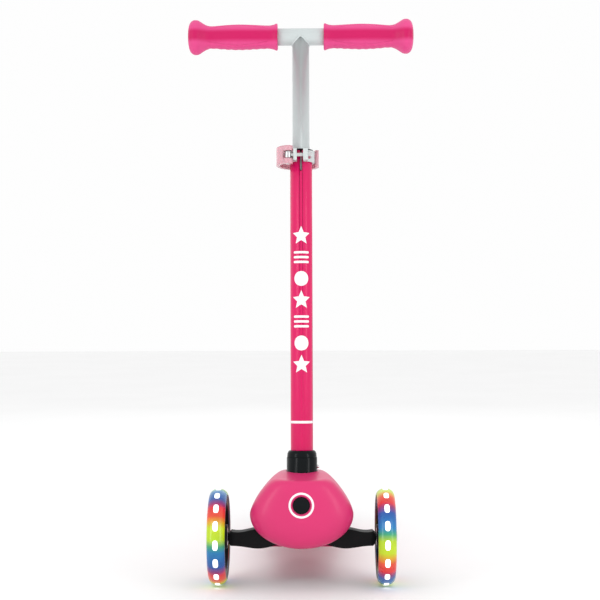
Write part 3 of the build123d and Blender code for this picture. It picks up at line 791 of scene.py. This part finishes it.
# ---------------------------------------------------------------- grips
GRIP_PROFILE = [            # from the grip's inner end outwards, radius
    (0.0, 15.6), (0.5, 16.9), (1.4, 17.3), (2.6, 17.2), (4.2, 16.4), (8, 15.4), (14, 15.0),
    (32, 15.9), (50, 16.5), (68, 15.8), (85, 14.5), (92, 15.4), (97, 17.8), (101, 20.4),
    (104, 22.0), (107, 22.5), (110, 22.1), (113, 20.2), (115, 17.2), (116.2, 13.0), (116.8, 8.0), (117, 0.2),
]
GRIP_LENGTH = 117.0


def ease(t):
    t = min(1.0, max(0.0, t))
    return t * t * (3 - 2 * t)


def groove(distance, width, depth):
    return -depth * math.exp(-(distance / width) ** 2)


def panel_relief(u, a, radius):
    """Moulded relief: a palm panel between two bowed grooves, and finger ribs below."""
    fade = ease((u - 9) / 7) * ease((94 - u) / 7)
    u = min(max(u, 12), 92)
    along = (u - 12) / 80
    upper = 0.55 + 0.5 * math.sin(along * math.pi) ** 0.8
    lower = -0.6 - 0.3 * math.sin(along * math.pi) ** 0.8
    relief = 0.0
    for centre in (upper, math.pi - upper, lower, -math.pi - lower):
        apart = math.atan2(math.sin(a - centre), math.cos(a - centre)) * radius
        relief += fade * groove(apart, 1.0, 0.9)
    below = ease((-math.sin(a) - 0.35) / 0.3)
    ribs = 0.5 + 0.5 * math.cos((u - 51) / 9.5 * 2 * math.pi)
    relief -= 0.45 * below * fade * ribs
    return relief


def evened(points, spacing):
    """The same line with points about spacing apart."""
    out = [tuple(points[0])]
    for a, b in zip(points, points[1:]):
        steps = max(1, int((b - a).length / spacing))
        for k in range(1, steps + 1):
            out.append(tuple(a + (b - a) * k / steps))
    return out


def make_grip(side, sign, material):
    around = 176
    profile = smooth_curve([(u, r) for u, r in GRIP_PROFILE], 4)
    profile = [Vector((u, r)) for u, r in evened(profile, 0.7)]
    points = []
    inner_end = BAR_HALF - GRIP_LENGTH * MM
    for u, r in profile:
        for k in range(around):
            a = 2 * math.pi * k / around
            radius = max(0.15, min(r, 22.45) + panel_relief(u, math.atan2(math.sin(a), -math.cos(a)), r))
            x = sign * (inner_end + u * MM)
            points.append((x, BAR.y + radius * MM * math.cos(a), BAR.z + radius * MM * math.sin(a)))
    faces = grid_faces(len(profile), around, True)
    faces.append(tuple(range(len(points) - around, len(points))))
    # the inner end turns in to the bar
    base = len(points)
    for k in range(around):
        a = 2 * math.pi * k / around
        radius = BAR_R + 0.05 * MM
        points.append((sign * inner_end, BAR.y + radius * math.cos(a), BAR.z + radius * math.sin(a)))
    for k in range(around):
        m = (k + 1) % around
        faces.append((k, m, base + m, base + k))
    grip = new_piece(side + "_moulded_grip", points, faces, material, "handlebar")
    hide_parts(side + "_grip")


# ---------------------------------------------------------------- deck mat's studs and the bar's weld
STUD_PITCH = 7.5 * MM
STUD_R = 1.9 * MM
STUD_H = 0.5 * MM


def mat_half_width(y):
    """Half the mat's width at y, from the CAD mat's own outline."""
    edge = sorted((v.co.y, v.co.x) for v in NODES["deck_mat"].data.vertices if v.co.x > 0)
    for (y0, x0), (y1, x1) in zip(edge, edge[1:]):
        if y0 <= y <= y1 and y1 > y0:
            return x0 + (x1 - x0) * (y - y0) / (y1 - y0)
    return 0.0


def make_studs(material):
    """Rows of low round studs over the mat, every other row set over by half a pitch."""
    low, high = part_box("deck_mat")
    around = 12
    profile = [(1.0, -0.1), (0.93, 0.45), (0.72, 0.82), (0.4, 0.97)]
    points = []
    faces = []
    rows = int((high.y - low.y - 9 * MM) / (STUD_PITCH * 0.87))
    for row in range(rows + 1):
        y = low.y + 5 * MM + row * STUD_PITCH * 0.87
        room = mat_half_width(y) - 4 * MM
        shift = STUD_PITCH / 2 if row % 2 else 0.0
        for column in range(-9, 10):
            x = column * STUD_PITCH + shift
            if abs(x) > room:
                continue
            base = len(points)
            for share, rise in profile:
                for k in range(around):
                    a = 2 * math.pi * k / around
                    points.append((x + STUD_R * share * math.cos(a), y + STUD_R * share * math.sin(a),
                                   high.z + STUD_H * rise))
            for r in range(len(profile) - 1):
                for k in range(around):
                    m = (k + 1) % around
                    faces.append((base + r * around + k, base + r * around + m,
                                  base + (r + 1) * around + m, base + (r + 1) * around + k))
            top = base + (len(profile) - 1) * around
            faces.append(tuple(range(top, top + around)))
    new_piece("mat_studs", points, faces, material, "deck")


def make_weld(material):
    """A weld bead where the stem meets the crossbar."""
    reach = (BAR - FOOT).dot(STEM_AXIS)
    around = 10
    turns = 120
    points = []
    for i in range(turns):
        a = 2 * math.pi * i / turns
        ripple = 1 + 0.12 * math.cos(36 * a)
        drop = math.sqrt(math.cos(a) ** 2 + 0.02)
        centre = Vector((BAR_R * math.cos(a), BAR_R * math.sin(a), reach - BAR_R * drop))
        out = Vector((math.cos(a), math.sin(a), -0.9)).normalized()
        ahead = Vector((-math.sin(a), math.cos(a), math.sin(a) * math.cos(a) / drop)).normalized()
        side = out.cross(ahead).normalized()
        for k in range(around):
            b = 2 * math.pi * k / around
            bead = 1.1 * MM * ripple
            points.append(STEM @ (centre + out * bead * math.cos(b) + side * bead * math.sin(b)))
    faces = grid_faces(turns, around, True)
    last = (turns - 1) * around
    for k in range(around):
        m = (k + 1) % around
        faces.append((last + k, last + m, m, k))
    new_piece("bar_weld", points, faces, material, "handlebar")


# ---------------------------------------------------------------- printed shapes on the stem
def star(radius, inner=0.45):
    points = []
    for i in range(10):
        reach = radius if i % 2 == 0 else radius * inner
        a = math.pi / 2 + math.pi * i / 5
        points.append((reach * math.cos(a), reach * math.sin(a)))
    return points


def disc(radius, count=40):
    return [(radius * math.cos(2 * math.pi * i / count), radius * math.sin(2 * math.pi * i / count))
            for i in range(count)]


def bar(width, height, radius):
    points = []
    for cx, cy, start in ((1, 1, 0), (-1, 1, 90), (-1, -1, 180), (1, -1, 270)):
        for i in range(7):
            a = math.radians(start + i * 15)
            points.append((cx * (width / 2 - radius) + radius * math.cos(a),
                           cy * (height / 2 - radius) + radius * math.sin(a)))
    return points


def print_on_tube(mesh, outline, at):
    """Adds a flat outline (mm, centred) to mesh, wrapped on the front of the outer tube."""
    low = min(p[0] for p in outline)
    high = max(p[0] for p in outline)
    verts = [mesh.verts.new((x, 0, y + at)) for x, y in outline]
    geometry = [mesh.faces.new(verts)]
    steps = max(2, int((high - low) / 1.0))
    for i in range(1, steps):
        cut = low + (high - low) * i / steps
        items = geometry + [e for f in geometry for e in f.edges] + [v for f in geometry for v in f.verts]
        done = bmesh.ops.bisect_plane(mesh, geom=list(set(items)), plane_co=(cut, 0, 0), plane_no=(1, 0, 0))
        geometry = [g for g in done["geom"] if isinstance(g, bmesh.types.BMFace)]
        geometry += [g for g in done["geom_cut"] if isinstance(g, bmesh.types.BMFace)]
    for vert in {v for f in geometry for v in f.verts}:
        x, _, z = vert.co
        a = x / (TUBE_R / MM)
        reach = TUBE_R + PRINT_LIFT
        vert.co = STEM @ Vector((reach * math.sin(a), -reach * math.cos(a), z * MM))


PRINT_TOP = 300.0           # highest shape's centre, in mm up the stem from the cover's top
PRINT_PITCH = 27.5
PRINT_SHAPES = 7
STRIPE_AT = 62.0


def make_prints(material):
    mesh = bmesh.new()
    for i in range(PRINT_SHAPES):
        at = PRINT_TOP - i * PRINT_PITCH
        if i % 3 == 0:
            print_on_tube(mesh, star(12.5), at)
        elif i % 3 == 1:
            for offset in (-6.2, 0, 6.2):
                print_on_tube(mesh, bar(21, 3.0, 1.4), at + offset)
        else:
            print_on_tube(mesh, disc(9.5), at)
    data = bpy.data.meshes.new("stem_shapes_print")
    mesh.to_mesh(data)
    mesh.free()
    finish_print("stem_shapes_print", data, material)
    stripe = bmesh.new()
    print_on_tube(stripe, bar(38, 3.2, 0.4), STRIPE_AT)
    data = bpy.data.meshes.new("stem_stripe_print")
    stripe.to_mesh(data)
    stripe.free()
    finish_print("stem_stripe_print", data, material)


def finish_print(name, data, material):
    data.materials.append(material)
    piece = bpy.data.objects.new(name, data)
    bpy.context.scene.collection.objects.link(piece)
    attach(piece, "deck")


# ---------------------------------------------------------------- CAD nodes kept as they are
SOFT_EDGES = {              # node: bevel width in mm
    "deck_shell": 1.2, "truck_beam": 1.4, "head_block": 0.6, "tbar_socket": 0.5, "socket_ring": 0.35,
    "clamp_collar": 0.4, "clamp_lever": 0.7, "clamp_nut": 0.3, "clamp_bolt": 0.2, "clamp_bush": 0.3,
    "outer_tube": 0.3, "brake_fender": 0.6, "lock_button": 0.4, "left_wheel_core": 0.5,
    "right_wheel_core": 0.5, "rear_wheel_core": 0.5, "rear_axle": 0.4, "rear_axle_nut": 0.4,
    "kingpin": 0.5, "kingpin_nut": 0.4, "deck_screws": 0.3, "front_axles": 0.3, "rear_spacers": 0.3,
    "left_bearings": 0.2, "right_bearings": 0.2, "rear_bearings": 0.2, "deck_mat": 0.3,
}


def finish_cad_nodes(materials):
    """Every CAD node gets its slot's material, soft edges and smooth shading."""
    slots = {item["node"]: item["material_slot"] for item in RECORD["subparts"]}
    special = {"crossbar": "alu_bar"}
    for name, node in NODES.items():
        key = special.get(name, slots[name])
        if key not in materials:
            continue
        node.data.materials.clear()
        node.data.materials.append(materials[key])
        for polygon in node.data.polygons:
            polygon.use_smooth = True
            polygon.material_index = 0
        weld = node.modifiers.new("weld", "WELD")
        weld.merge_threshold = 0.005 * MM
        if name in SOFT_EDGES:
            bevel = node.modifiers.new("soft_edges", "BEVEL")
            bevel.width = SOFT_EDGES[name] * MM
            bevel.segments = 2
            bevel.limit_method = "ANGLE"
            bevel.angle_limit = math.radians(35)
            bevel.harden_normals = True


def main():
    make_camera()
    make_light()
    make_floor()
    materials = make_materials()
    flank = materials["tyre_flank"]
    make_tyre("left", -WHEEL_X, rainbow("rainbow_left", -WHEEL_X, LEFT_PHASE, -1), flank)
    make_tyre("right", WHEEL_X, rainbow("rainbow_right", WHEEL_X, RIGHT_PHASE, 1), flank)
    for side, x in (("left", -WHEEL_X), ("right", WHEEL_X)):
        make_windows(side, x, materials["light_window"])
    make_rear_tyre(materials["tyre_rear"])
    make_cover(materials["pink_shell"])
    make_housing(materials["pink_shell"])
    make_button_ring(materials["white_print"])
    make_grip("left", -1, materials["pink_grip"])
    make_grip("right", 1, materials["pink_grip"])
    make_studs(materials["deck_mat"])
    make_weld(materials["alu"])
    make_prints(materials["white_print"])
    finish_cad_nodes(materials)


main()
